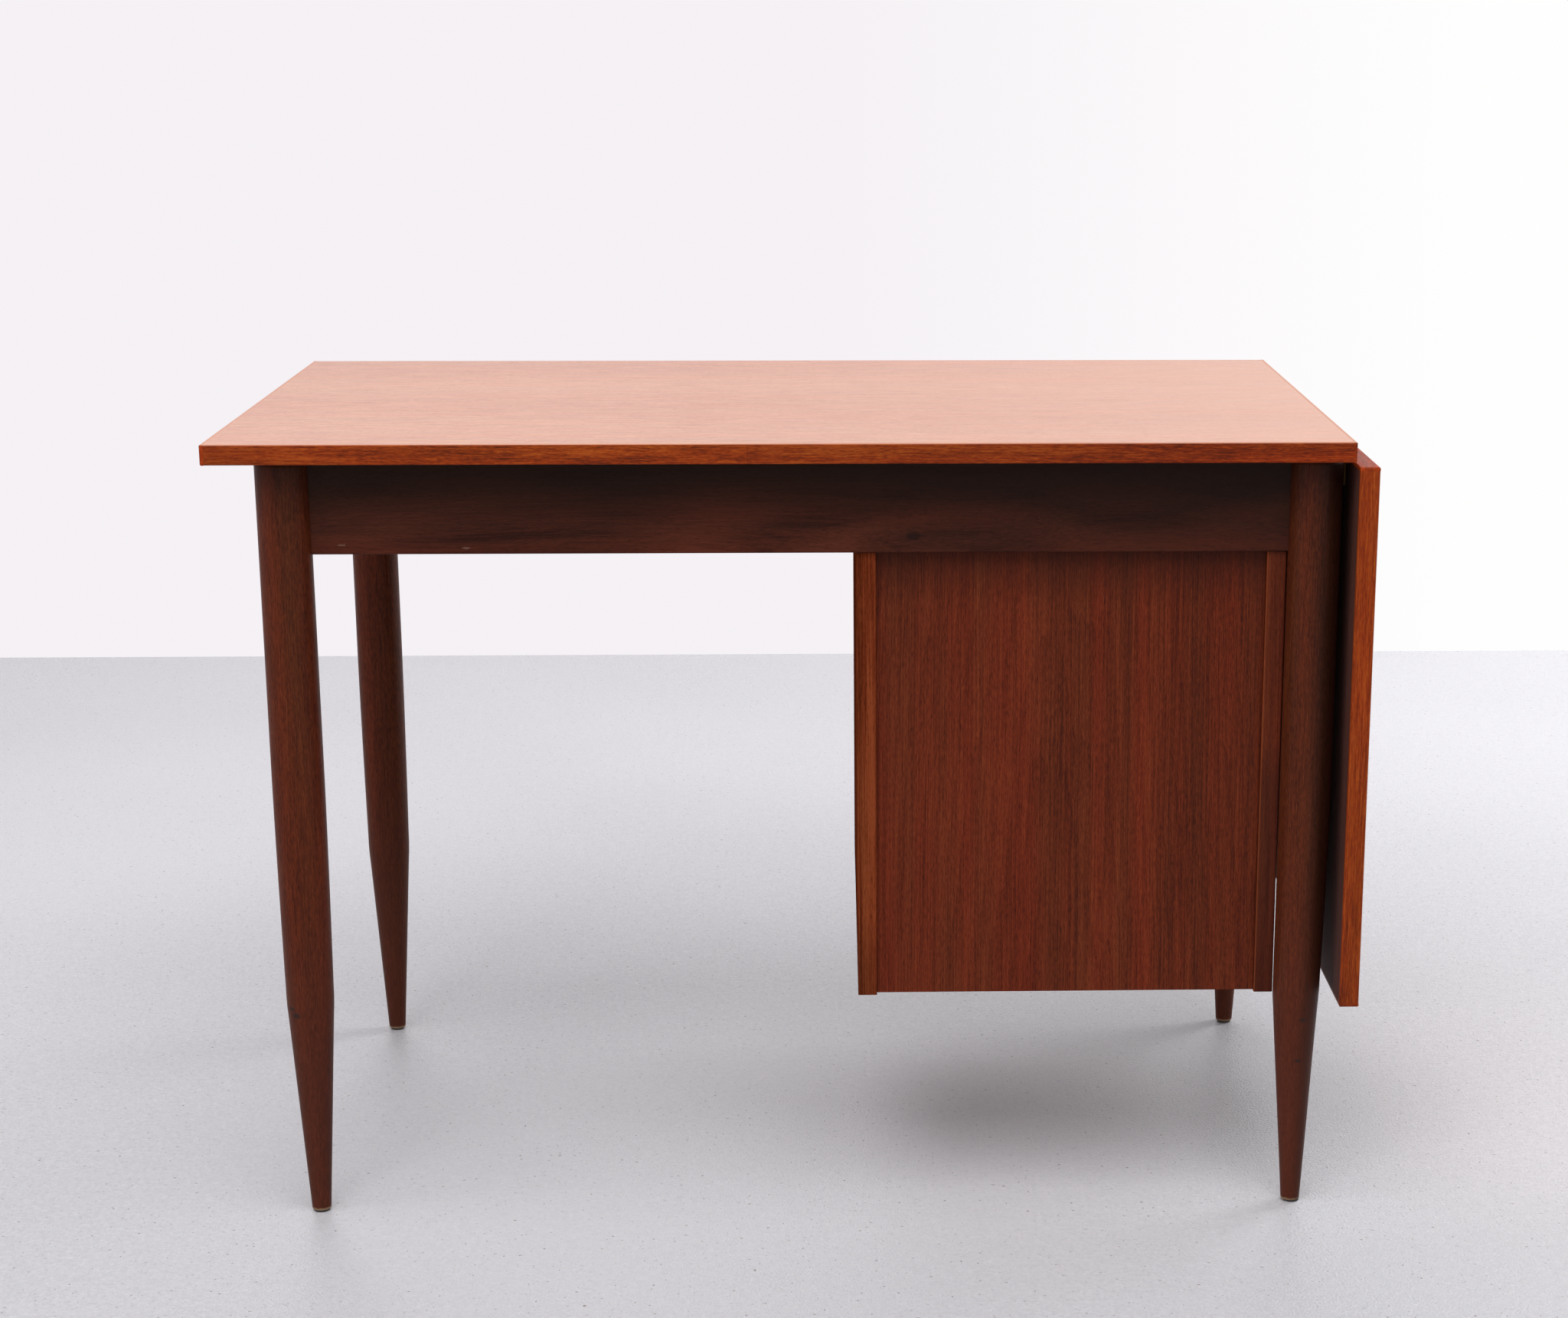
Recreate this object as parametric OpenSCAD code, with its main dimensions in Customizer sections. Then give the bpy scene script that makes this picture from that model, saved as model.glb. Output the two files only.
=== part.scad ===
// Writing desk with a hanging drawer pedestal and a drop leaf.
// Teak, on four turned legs. Millimetres, +Z up, the user sits at -Y.
// The origin is on the floor, below the middle of the desk with its leaf hanging.

/* [Overall] */
// Height of the work surface above the floor
desk_h = 730; // [690:5:780]
// Length of the fixed top, leaf not counted
top_w = 1008; // [900:2:1300]
// Depth of the top and of the leaf
top_d = 600; // [540:10:720]
// Thickness of the top
top_t = 18; // [16:1:24]
// Thickness of the solid strips that edge the top and the leaf
lip_t = 3.5; // [2.5:0.5:8]
// Rounding along the edges of those strips
lip_r = 1.5; // [0.5:0.25:2.25]

/* [Legs] */
// Diameter of a leg over its upper half
leg_d = 47; // [42:0.5:54]
// Diameter of a leg at its knee
knee_d = 43; // [34:0.5:44]
// Diameter of a leg where it meets its glide
foot_d = 17.5; // [14:0.5:24]
// Height where the leg begins to slim down
slim_z = 420; // [340:10:500]
// Height of the knee, where the straight taper begins
knee_z = 208; // [120:4:280]
// Softness of the knee, as the gap between the leg and the corner of the knee
knee_soft = 0.3; // [0.1:0.1:0.8]
// From the right end of the top to the right legs' axis
leg_in_right = 62; // [40:1:90]
// From the left end of the top, where the leaf hangs, to the left legs' axis
leg_in_left = 28.5; // [27:0.5:50]
// From the long edges of the top to the legs' axis
leg_in_y = 44; // [35:1:80]
// Thickness of the glide under each leg
glide_t = 2; // [2:0.5:6]
// Diameter of the glide
glide_d = 15; // [10:0.5:16]
// Diameter of the glide's nail
nail_d = 3; // [2:0.5:4]
// Length of the glide's nail
nail_l = 18; // [10:1:30]

/* [Aprons] */
// Height of the aprons
apron_h = 86; // [70:1:120]
// Thickness of the aprons
apron_t = 20; // [18:1:24]
// How far an apron's outer face lies outside the legs' axis
apron_out = 3; // [2:1:8]
// Rounding along the aprons' lower edges
apron_r = 1.5; // [0.5:0.5:4]
// Thickness of the tenons
tenon_t = 10; // [8:1:12]
// Height of the shoulder above and below a tenon
shoulder_h = 10; // [6:1:20]
// Between the end of one tenon and the side of the other, in a leg
tenon_gap = 1; // [0.5:0.5:3]
// Length of a corner block along each apron
block_l = 56; // [45:1:80]
// Height of a corner block
block_h = 34; // [20:1:50]

/* [Pedestal] */
// Width of the pedestal over its sides
ped_w = 387; // [320:1:480]
// Height of the pedestal's lower edge above the floor
ped_z = 208; // [150:2:300]
// Shadow gap between the pedestal and the aprons
ped_drop = 1; // [0.5:0.5:6]
// Gap between the pedestal's left side and the left legs
ped_leg_gap = 0.5; // [0.5:0.5:10]
// How far the pedestal's edges stand back from the aprons' outer faces
ped_back = 5; // [0:0.5:10]
// Thickness of the pedestal's sides, top and bottom
case_t = 17.5; // [15:0.5:22]
// Rounding along the upright edges of the pedestal's sides
case_r = 1; // [0.5:0.25:3]
// Depth of the tongues that join the pedestal's top and bottom to its sides
tongue_l = 5; // [3:0.5:7]
// Thickness of those tongues
tongue_t = 8; // [5:0.5:10]
// Thickness of the pedestal's back panel
back_t = 6; // [4:0.5:9]
// How far the back panel is recessed behind the sides' edges
back_in = 7.5; // [3:0.5:15]
// Depth of the grooves that hold the back panel
back_groove = 5; // [3:0.5:7]
// Depth of the rails that hang the pedestal from the top
hanger_t = 28; // [20:1:40]

/* [Drawers] */
// Height of the top drawer's front
top_front_h = 96; // [80:1:120]
// Height of the middle drawer's front
middle_front_h = 126; // [90:1:150]
// Gap round every drawer front
front_gap = 1.5; // [1:0.25:3]
// Thickness of the drawer fronts
front_t = 18; // [16:0.5:22]
// Rounding along the drawer fronts' long edges
front_r = 1.5; // [0.5:0.25:4]
// Thickness of the drawer sides
side_t = 12; // [11:0.5:15]
// How far a drawer's sides stop below its front's upper edge
side_low = 10; // [6:1:20]
// How far a drawer's sides begin above its front's lower edge
side_up = 6; // [3:1:10]
// Length of the dovetails into the front
tail_l = 12; // [8:0.5:14]
// Height of a dovetail at its wide end
tail_h = 18; // [12:1:20]
// Slope of a dovetail on each side, as a drop over its length
tail_drop = 2.4; // [1:0.2:3]
// Distance from one dovetail to the next
tail_pitch = 26; // [22:1:34]
// Wood left below the lowest dovetail, and at least as much above the highest
tail_edge = 2; // [1:0.5:5]
// Thickness of a drawer's back
rear_t = 11; // [8:0.5:14]
// How far a drawer's back stands in from the ends of its sides
rear_in = 12; // [6:1:20]
// Thickness of a drawer's bottom
base_t = 4; // [3:0.5:6]
// Height of a drawer's bottom above the lower edge of its sides
base_up = 8; // [5:1:12]
// Depth of the grooves round a drawer's bottom and back
base_groove = 5; // [3:0.5:6]
// Height of a drawer runner
runner_h = 12; // [8:1:16]
// How far a drawer runner stands out from the pedestal's side
runner_w = 7.5; // [6:0.5:8]
// Clearance between a runner and its groove, at each side
runner_fit = 0.3; // [0.2:0.1:0.8]
// Length of a drawer stop, front to back
stop_l = 12; // [8:1:20]
// Height of a drawer stop
stop_h = 16; // [10:1:18]

/* [Pulls] */
// Length of a pull
pull_w = 132; // [90:2:180]
// How far a pull stands out from its drawer front
pull_out = 24; // [20:1:32]
// Height of a pull
pull_h = 18; // [16:1:24]
// Radius of the finger hollow under a pull
hollow_r = 8; // [7:0.5:9]
// Thickness of wood left in front of the finger hollow
pull_wall = 5; // [4:0.5:8]

/* [Leaf] */
// Length of the leaf, from its hinged edge to its free edge
leaf_l = 500; // [380:10:520]
// Thickness of the leaf
leaf_t = 18; // [16:1:24]
// Gap between the end of the top and the inner face of the hanging leaf
leaf_gap = 3; // [2.75:0.25:5]
// How far the leaf's pivot lies outside the end of the top
pivot_out = 0.5; // [0:0.25:1]
// From the pivot to the hinged edge of the leaf
edge_gap = 1.5; // [1:0.25:3]

/* [Hinges] */
// Length of a hinge
hinge_l = 60; // [40:2:80]
// Gap between a leg and the outer hinge beside it
hinge_leg_gap = 10; // [4:1:30]
// Thickness of the hinge plates
plate_t = 1.4; // [1:0.1:1.6]
// Width of the plate under the top, from the pivot
fixed_plate_w = 22; // [20:0.5:23]
// Width of the plate on the leaf, from the pivot
leaf_plate_w = 30; // [24:1:40]
// Number of knuckles in a hinge
knuckles = 5; // [3:2:7]
// Diameter of the hinge pins
pin_d = 2.2; // [1.8:0.1:2.4]
// Running clearance round pins, at each side
pin_fit = 0.05; // [0.02:0.01:0.08]
// Gap between knuckles, and between any two parts that move past each other
run_gap = 0.3; // [0.2:0.05:0.5]
// Diameter of a hinge screw
screw_d = 3; // [2.5:0.25:3.5]
// Length of a hinge screw
screw_l = 13; // [10:0.5:14]

/* [Leaf stays] */
// From the middle of the desk to each stay
stay_y = 130; // [80:5:145]
// From the apron, or from the leaf, to the stay's pivots
stay_stand = 12; // [10:0.5:12]
// From the underside of the top down to the stay's pivot on the apron
stay_down = 68; // [50:1:72]
// From the leaf's pivot to the stay's pivot on the leaf
stay_reach = 150; // [130:2:180]
// Width of the stay's arms
arm_w = 13; // [10:0.5:14]
// Thickness of the stay's arms and ears
arm_t = 2.5; // [2:0.25:3.5]
// Diameter of the stay's rivets
rivet_d = 5; // [4:0.25:6]
// Diameter of the stay's rivet heads
rivet_head_d = 9; // [7:0.5:11]
// Thickness of the stay's rivet heads
rivet_head_t = 1.2; // [0.8:0.1:2]
// Length of a stay's mounting plate
stay_plate_l = 34; // [28:1:34]
// Width of a stay's mounting plate
stay_plate_w = 22; // [18:1:30]

/* [Fastenings] */
// Diameter of the screws that hold the top, and of the bolts that hold the pedestal
bolt_d = 5; // [4:0.5:6]
// How far the screws that hold the top reach into it
bolt_in = 12; // [8:1:13]
// How far the pedestal's bolts reach into the hanging rails
ped_bolt_in = 40; // [20:1:60]
// Clearance round fastenings, tenons and tongues, at each side
seat_fit = 0.05; // [0.02:0.01:0.1]

/* [Hidden] */
$fn = 48;

// Wood and metal colours
teak_top = [0.80, 0.55, 0.43];
teak_edge = [0.58, 0.29, 0.15];
teak_leg = [0.43, 0.22, 0.13];
teak_apron = [0.34, 0.17, 0.11];
teak_case = [0.47, 0.24, 0.15];
beech = [0.80, 0.66, 0.47];
ply = [0.74, 0.58, 0.40];
brass = [0.78, 0.62, 0.32];
steel = [0.62, 0.62, 0.63];
glide_black = [0.06, 0.06, 0.06];

// Number of straight steps in a quarter of a rounded edge
edge_steps = 4;
// Number of rings along the shaped part of a leg
leg_rings = 26;
// Overlap of cutting bodies past the faces they cut
over = 1;

// Top and leaf
top_cx = (leaf_gap + leaf_t) / 2;
top_x0 = top_cx - top_w / 2;
top_x1 = top_cx + top_w / 2;
under_z = desk_h - top_t;
leaf_inner_x = top_x0 - leaf_gap;
leaf_outer_x = leaf_inner_x - leaf_t;
pivot_x = top_x0 - pivot_out;
pivot_z = desk_h - (leaf_gap + leaf_t - pivot_out);
leaf_z1 = pivot_z - edge_gap;

// Legs and aprons
leg_r = leg_d / 2;
leg_x_left = top_x0 + leg_in_left;
leg_x_right = top_x1 - leg_in_right;
leg_y = top_d / 2 - leg_in_y;
apron_z = under_z - apron_h;
apron_in = apron_t - apron_out;
apron_mid = apron_out - apron_t / 2;
tenon_tip = tenon_t / 2 - apron_mid + tenon_gap;
apron_left_x = leg_x_left - apron_out;
inner_left_x = leg_x_left + apron_in;
inner_right_x = leg_x_right - apron_in;
inner_y = leg_y - apron_in;

// Pedestal
ped_x0 = leg_x_left + leg_r + ped_leg_gap;
ped_x1 = ped_x0 + ped_w;
ped_z1 = apron_z - ped_drop;
ped_y = leg_y + apron_out - ped_back;
bay_x0 = ped_x0 + case_t;
bay_x1 = ped_x1 - case_t;
bay_z0 = ped_z + case_t;
bay_z1 = ped_z1 - case_t;
back_y = ped_y - back_in - back_t;
tongue_stop = case_t;
hanger_x0 = max(ped_x0, inner_left_x + block_l) + over;
hanger_x1 = ped_x1 - case_t;
ped_bolt_x = [hanger_x0 + hanger_t, hanger_x1 - hanger_t];
ped_bolt_y = inner_y - hanger_t / 2;

// Drawers: 0 is the top one, 1 the middle one, 2 the bottom one
front_zs = [
    bay_z1 - front_gap - top_front_h,
    bay_z1 - 2 * front_gap - top_front_h - middle_front_h,
    bay_z0 + front_gap
];
front_hs = [
    top_front_h,
    middle_front_h,
    front_zs[1] - front_gap - front_zs[2]
];
box_x0 = bay_x0 + front_gap;
box_x1 = bay_x1 - front_gap;
front_y0 = -ped_y;
front_y1 = front_y0 + front_t;
box_y1 = back_y - stop_l - run_gap;
rear_y1 = box_y1 - rear_in;
rear_y0 = rear_y1 - rear_t;
groove_h = runner_h + 2 * runner_fit;
groove_d = runner_w - front_gap + runner_fit;
function side_z0(i) = front_zs[i] + side_up;
function side_z1(i) = front_zs[i] + front_hs[i] - side_low;
function runner_z(i) = (side_z0(i) + side_z1(i)) / 2;
function tails(i) = floor((side_z1(i) - side_z0(i) - tail_h - 2 * tail_edge) / tail_pitch) + 1;

// Hinges
hinge_y = leg_y - leg_r - hinge_leg_gap - hinge_l / 2;
hinge_ys = [-hinge_y, 0, hinge_y];
knuckle_r = min(under_z - pivot_z, leaf_gap - pivot_out) - run_gap / 2;
knuckle_l = hinge_l / knuckles;
fixed_screw_x = pivot_x + fixed_plate_w / 2;
leaf_screw_z = pivot_z - leaf_plate_w / 2;
screw_step = hinge_l / 3;

// Stays. Points are [x, z]. The long arm turns on the apron and the short arm on the leaf.
// Folded, they lie on one line; with the leaf up they make one straight line.
stay_f = [apron_left_x - stay_stand, under_z - stay_down];
stay_l = [leaf_inner_x + stay_stand, pivot_z - stay_reach];
stay_up = [pivot_x + stay_l[1] - pivot_z, pivot_z - stay_l[0] + pivot_x];
folded = norm(stay_l - stay_f);
opened = norm(stay_up - stay_f);
long_l = (opened + folded) / 2;
short_l = (opened - folded) / 2;
stay_dir = (stay_l - stay_f) / folded;
stay_elbow = stay_f + long_l * stay_dir;

// ---- Helpers ----

// A block between two corners
module block(low, high) {
    translate(low) cube(high - low);
}

// Points of an arc, from angle a0 to angle a1
function arc(c, r, a0, a1, n) =
    [for (i = [0:n]) c + r * [cos(a0 + (a1 - a0) * i / n), sin(a0 + (a1 - a0) * i / n)]];

// A w x h outline from the origin. Its corners are rounded where the matching radius is over 0,
// counted anticlockwise from the corner at the origin.
function eased(w, h, r) = concat(
    r[0] > 0 ? arc([r[0], r[0]], r[0], 180, 270, edge_steps) : [[0, 0]],
    r[1] > 0 ? arc([w - r[1], r[1]], r[1], 270, 360, edge_steps) : [[w, 0]],
    r[2] > 0 ? arc([w - r[2], h - r[2]], r[2], 0, 90, edge_steps) : [[w, h]],
    r[3] > 0 ? arc([r[3], h - r[3]], r[3], 90, 180, edge_steps) : [[0, h]]
);

// Extrudes an outline drawn in (x, z) along Y
module along_y(y0, y1) {
    translate([0, y1, 0]) rotate([90, 0, 0]) linear_extrude(y1 - y0) children();
}

// Extrudes an outline drawn in (y, z) along X
module along_x(x0, x1) {
    translate([x0, 0, 0]) rotate([90, 0, 90]) linear_extrude(x1 - x0) children();
}

// A flat bar of width w round the points a and b, as an outline
function bar(a, b, w) =
    let (d = b - a, t = atan2(d[1], d[0]))
    concat(arc(a, w / 2, t + 90, t + 270, 12), arc(b, w / 2, t - 90, t + 90, 12));

// A countersunk screw. Its head is flush with z = 0 and it points along +Z.
module screw(l, d, grow = 0) {
    head = d * 0.5;
    cylinder(h = head + grow, r1 = d + grow, r2 = d / 2 + grow);
    cylinder(h = l + grow, r = d / 2 + grow);
}

// ---- Top and leaf boards ----

// The core of a board that lies on z = 0 with one end at x = 0
module board_core(l, t) {
    block([lip_t, lip_t - top_d / 2, 0], [l - lip_t, top_d / 2 - lip_t, t]);
}

// The strip across the end of a board at x = 0. It runs over the full depth.
module board_end(t) {
    intersection() {
        along_y(-top_d / 2, top_d / 2)
            polygon(eased(lip_t, t, [lip_r, 0, 0, lip_r]));
        translate([0, -top_d / 2, 0])
            linear_extrude(t) polygon(eased(lip_t, top_d, [lip_r, 0, 0, lip_r]));
    }
}

// The strip along the front edge of a board, between its end strips
module board_edge(l, t) {
    along_x(lip_t, l - lip_t)
        translate([-top_d / 2, 0]) polygon(eased(lip_t, t, [lip_r, 0, 0, lip_r]));
}

module place_top() {
    translate([top_x0, 0, under_z]) children();
}

// Turns a board so that it hangs with its x = 0 end up and its z = 0 face outwards
module place_leaf() {
    translate([leaf_outer_x, 0, leaf_z1]) rotate([0, 90, 0]) children();
}

// The places of the screws that hold the top, in the corner blocks
module at_top_screws() {
    for (x = [inner_left_x, inner_right_x], y = [-inner_y, inner_y])
        translate([
            x + (x < top_cx ? 1 : -1) * block_l * 0.36,
            y - sign(y) * block_l * 0.36,
            under_z - block_h
        ]) children();
}

// The places of the hinge screws, in the top and in the leaf
module at_hinge_screws_top() {
    for (y = hinge_ys, i = [-1:1])
        translate([fixed_screw_x, y + i * screw_step, under_z - plate_t]) children();
}

module at_hinge_screws_leaf() {
    for (y = hinge_ys, i = [-1:1])
        translate([leaf_inner_x + plate_t, y + i * screw_step, leaf_screw_z])
            rotate([0, -90, 0]) children();
}

module top_panel() {
    color(teak_top) difference() {
        place_top() board_core(top_w, top_t);
        at_top_screws() cylinder(h = block_h + bolt_in + seat_fit, r = bolt_d / 2 + seat_fit);
        at_hinge_screws_top() screw(screw_l, screw_d, seat_fit);
    }
}

module top_lipping_left() {
    color(teak_edge) place_top() board_end(top_t);
}

module top_lipping_right() {
    color(teak_edge) place_top() translate([top_w, 0, 0]) mirror([1, 0, 0]) board_end(top_t);
}

module top_lipping_front() {
    color(teak_edge) place_top() board_edge(top_w, top_t);
}

module top_lipping_back() {
    color(teak_edge) place_top() mirror([0, 1, 0]) board_edge(top_w, top_t);
}

module leaf_panel() {
    color(teak_top) difference() {
        place_leaf() board_core(leaf_l, leaf_t);
        at_hinge_screws_leaf() screw(screw_l, screw_d, seat_fit);
    }
}

module leaf_lipping_hinge() {
    color(teak_edge) place_leaf() board_end(leaf_t);
}

module leaf_lipping_free() {
    color(teak_edge) place_leaf() translate([leaf_l, 0, 0]) mirror([1, 0, 0]) board_end(leaf_t);
}

module leaf_lipping_front() {
    color(teak_edge) place_leaf() board_edge(leaf_l, leaf_t);
}

module leaf_lipping_back() {
    color(teak_edge) place_leaf() mirror([0, 1, 0]) board_edge(leaf_l, leaf_t);
}

// ---- Legs ----

// Radius of a leg above its knee: it slims down slowly below slim_z
function upper_r(z) = leg_r - (leg_r - knee_d / 2)
    * pow(max(0, slim_z - z) / (slim_z - knee_z), 1.5);
// Radius of the straight taper that runs from the glide to the knee
function lower_r(z) = foot_d / 2 + (knee_d - foot_d) / 2 * (z - glide_t) / (knee_z - glide_t);
// The smaller of the two, with the corner between them softened
function leg_radius(z) =
    let (u = upper_r(z), l = lower_r(z))
    z >= slim_z ? leg_r : (u + l) / 2 - sqrt(pow((u - l) / 2, 2) + knee_soft * knee_soft)
        + knee_soft * knee_soft / max(knee_soft, abs(u - l));

// A leg for the back right corner, round the origin, with its two mortises and its nail hole
module leg() {
    outline = concat(
        [[0, glide_t], [leg_radius(glide_t) - lip_r / 2, glide_t]],
        [for (i = [1:leg_rings])
            let (z = glide_t + (slim_z - glide_t) * i / leg_rings) [leg_radius(z), z]],
        [[leg_r, under_z], [0, under_z]]
    );
    difference() {
        rotate_extrude() polygon(outline);
        tenon_x(seat_fit);
        tenon_y(seat_fit);
        translate([0, 0, glide_t - over]) cylinder(h = nail_l + over, r = nail_d / 2 + seat_fit);
    }
}

// The tenon of the apron that runs along X from a back right leg
module tenon_x(grow = 0) {
    block([-leg_r - tenon_t, apron_mid - tenon_t / 2 - grow, apron_z + shoulder_h - grow],
        [-tenon_tip + grow, apron_mid + tenon_t / 2 + grow, under_z - shoulder_h + grow]);
}

// The tenon of the apron that runs along Y from a back right leg
module tenon_y(grow = 0) {
    block([apron_mid - tenon_t / 2 - grow, -leg_r - tenon_t, apron_z + shoulder_h - grow],
        [apron_mid + tenon_t / 2 + grow, -tenon_tip + grow, under_z - shoulder_h + grow]);
}

// Puts a back right corner's part at the corner on side sx, sy
module at_corner(sx, sy) {
    translate([sx > 0 ? leg_x_right : leg_x_left, sy * leg_y, 0])
        mirror([sx > 0 ? 0 : 1, 0, 0]) mirror([0, sy > 0 ? 0 : 1, 0]) children();
}

module leg_front_left() { color(teak_leg) at_corner(-1, -1) leg(); }
module leg_front_right() { color(teak_leg) at_corner(1, -1) leg(); }
module leg_back_left() { color(teak_leg) at_corner(-1, 1) leg(); }
module leg_back_right() { color(teak_leg) at_corner(1, 1) leg(); }

module foot_glides() {
    rim = glide_t / 3;
    color(glide_black) for (sx = [-1, 1], sy = [-1, 1]) at_corner(sx, sy) {
        cylinder(h = rim, r1 = glide_d / 2 - rim, r2 = glide_d / 2);
        translate([0, 0, rim]) cylinder(h = glide_t - rim, r = glide_d / 2);
        cylinder(h = glide_t + nail_l - over, r = nail_d / 2);
    }
}

// ---- Aprons ----

// Outline of an apron across its length. Its outer face is at u = apron_out.
module apron_outline() {
    translate([-apron_in, apron_z])
        polygon(eased(apron_t, apron_h, [apron_r, apron_r, 0, 0]));
}

// An apron that runs along X from leg to leg at the back of the desk
module apron_x() {
    difference() {
        along_x(leg_x_left, leg_x_right) translate([leg_y, 0]) apron_outline();
        for (x = [leg_x_left, leg_x_right])
            translate([x, leg_y, 0]) cylinder(h = desk_h, r = leg_r + seat_fit);
    }
    at_corner(1, 1) tenon_x();
    at_corner(-1, 1) tenon_x();
}

// An apron that runs along Y between the other two, with its outer face towards +X, round the
// axis x = 0
module apron_y() {
    difference() {
        along_y(-inner_y + seat_fit, inner_y - seat_fit) apron_outline();
        for (y = [-leg_y, leg_y])
            translate([0, y, 0]) cylinder(h = desk_h, r = leg_r + seat_fit);
    }
    for (m = [0, 1]) mirror([0, m, 0]) translate([0, leg_y, 0]) tenon_y();
}

module apron_back() { color(teak_apron) apron_x(); }
module apron_front() { color(teak_apron) mirror([0, 1, 0]) apron_x(); }
module apron_right() { color(teak_apron) translate([leg_x_right, 0, 0]) apron_y(); }
module apron_left() { color(teak_apron) translate([leg_x_left, 0, 0]) mirror([1, 0, 0]) apron_y(); }

// Three-cornered blocks behind the legs, glued to both aprons and screwed to the top
module corner_blocks() {
    color(beech) difference() {
        for (sx = [-1, 1], sy = [-1, 1]) at_corner(sx, sy)
            translate([-apron_in, -apron_in, under_z - block_h]) difference() {
                linear_extrude(block_h) polygon([[0, 0], [-block_l, 0], [0, -block_l]]);
                translate([apron_in, apron_in, -over])
                    cylinder(h = block_h + 2 * over, r = leg_r + over);
            }
        at_top_screws() screw(block_h + bolt_in, bolt_d, seat_fit);
    }
}

module top_screws() {
    color(steel) at_top_screws() screw(block_h + bolt_in, bolt_d);
}

// ---- Pedestal ----

// The groove in the pedestal's left side for one tongue, at height z
module tongue(z, grow = 0) {
    block([bay_x0 - tongue_l - grow, tongue_stop - ped_y - grow, z - tongue_t / 2 - grow],
        [bay_x0 + over, back_y, z + tongue_t / 2 + grow]);
}

module ped_side() {
    difference() {
        translate([ped_x0, -ped_y, ped_z]) linear_extrude(ped_z1 - ped_z)
            polygon(eased(case_t, 2 * ped_y, [case_r, case_r, case_r, case_r]));
        block([bay_x0 - back_groove - seat_fit, back_y, ped_z - over],
            [bay_x0 + over, back_y + back_t + seat_fit, ped_z1 + over]);
        tongue(ped_z + case_t / 2, seat_fit);
        tongue(ped_z1 - case_t / 2, seat_fit);
    }
}

// Swaps the pedestal's left and right
module ped_mirror() {
    translate([ped_x0 + ped_x1, 0, 0]) mirror([1, 0, 0]) children();
}

module pedestal_left_side() { color(teak_case) ped_side(); }
module pedestal_right_side() { color(teak_case) ped_mirror() ped_side(); }

// A board between the pedestal's sides, with a tongue at each end
module ped_board(z) {
    block([bay_x0, -ped_y, z], [bay_x1, back_y, z + case_t]);
    tongue(z + case_t / 2);
    ped_mirror() tongue(z + case_t / 2);
}

module at_ped_bolts() {
    for (x = ped_bolt_x, y = [-ped_bolt_y, ped_bolt_y]) translate([x, y, bay_z1]) children();
}

module pedestal_bottom() { color(teak_case) ped_board(ped_z); }

module pedestal_top() {
    color(teak_case) difference() {
        ped_board(bay_z1);
        at_ped_bolts() screw(case_t + ped_drop + ped_bolt_in, bolt_d, seat_fit);
    }
}

module pedestal_back() {
    color(teak_case) block([bay_x0 - back_groove, back_y, ped_z],
        [bay_x1 + back_groove, back_y + back_t, ped_z1]);
}

// Two rails that stand on the pedestal, inside the front and back aprons, under the top
module hanging_rails() {
    color(beech) difference() {
        for (m = [0, 1]) mirror([0, m, 0])
            block([hanger_x0, inner_y - hanger_t, ped_z1], [hanger_x1, inner_y, under_z]);
        at_ped_bolts() screw(case_t + ped_drop + ped_bolt_in, bolt_d, seat_fit);
    }
}

module pedestal_bolts() {
    color(steel) at_ped_bolts() screw(case_t + ped_drop + ped_bolt_in, bolt_d);
}

// Six strips on the pedestal's sides, which the drawers' grooved sides slide along
module drawer_runners() {
    color(beech) for (i = [0:2], m = [0, 1]) translate([m * (bay_x0 + bay_x1), 0, 0])
        mirror([m, 0, 0])
            block([bay_x0, front_y1 + 2 * runner_fit + over, runner_z(i) - runner_h / 2],
                [bay_x0 + runner_w, back_y, runner_z(i) + runner_h / 2]);
}

// Six small blocks in the pedestal's back corners, which stop the drawers flush
module drawer_stops() {
    color(beech) for (i = [0:2], m = [0, 1]) translate([m * (bay_x0 + bay_x1), 0, 0])
        mirror([m, 0, 0])
            block([bay_x0, back_y - stop_l, runner_z(i) + runner_h / 2 + over],
                [bay_x0 + front_gap + side_t, back_y, runner_z(i) + runner_h / 2 + over + stop_h]);
}

// ---- Drawers ----

// The dovetails at the front end of a left drawer side. The lowest covers the bottom's groove.
module dovetails(i, grow = 0) {
    n = tails(i);
    first_z = side_z0(i) + tail_edge + tail_h / 2;
    root = tail_h / 2 - tail_drop + grow;
    wide = tail_h / 2 + grow;
    for (k = [0:n - 1])
        along_x(box_x0 - grow, box_x0 + side_t + grow)
            translate([front_y1, first_z + k * tail_pitch])
                polygon([[over, -root], [over, root], [0, root], [-tail_l - grow, wide],
                    [-tail_l - grow, -wide], [0, -root]]);
}

module drawer_mirror() {
    translate([box_x0 + box_x1, 0, 0]) mirror([1, 0, 0]) children();
}

// Space of a drawer's bottom: it sits in grooves in the front and the sides, under the rear
module base_space(i, grow = 0) {
    z = side_z0(i) + base_up;
    block([box_x0 + side_t - base_groove - grow, front_y1 - base_groove - grow, z - grow],
        [box_x1 - side_t + base_groove + grow, box_y1 + over * grow, z + base_t + grow]);
}

module drawer_front(i) {
    color(teak_case) difference() {
        along_x(box_x0, box_x1) translate([front_y0, front_zs[i]])
            polygon(eased(front_t, front_hs[i], [front_r, 0, 0, front_r]));
        dovetails(i, seat_fit);
        drawer_mirror() dovetails(i, seat_fit);
        base_space(i, seat_fit);
    }
}

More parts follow.
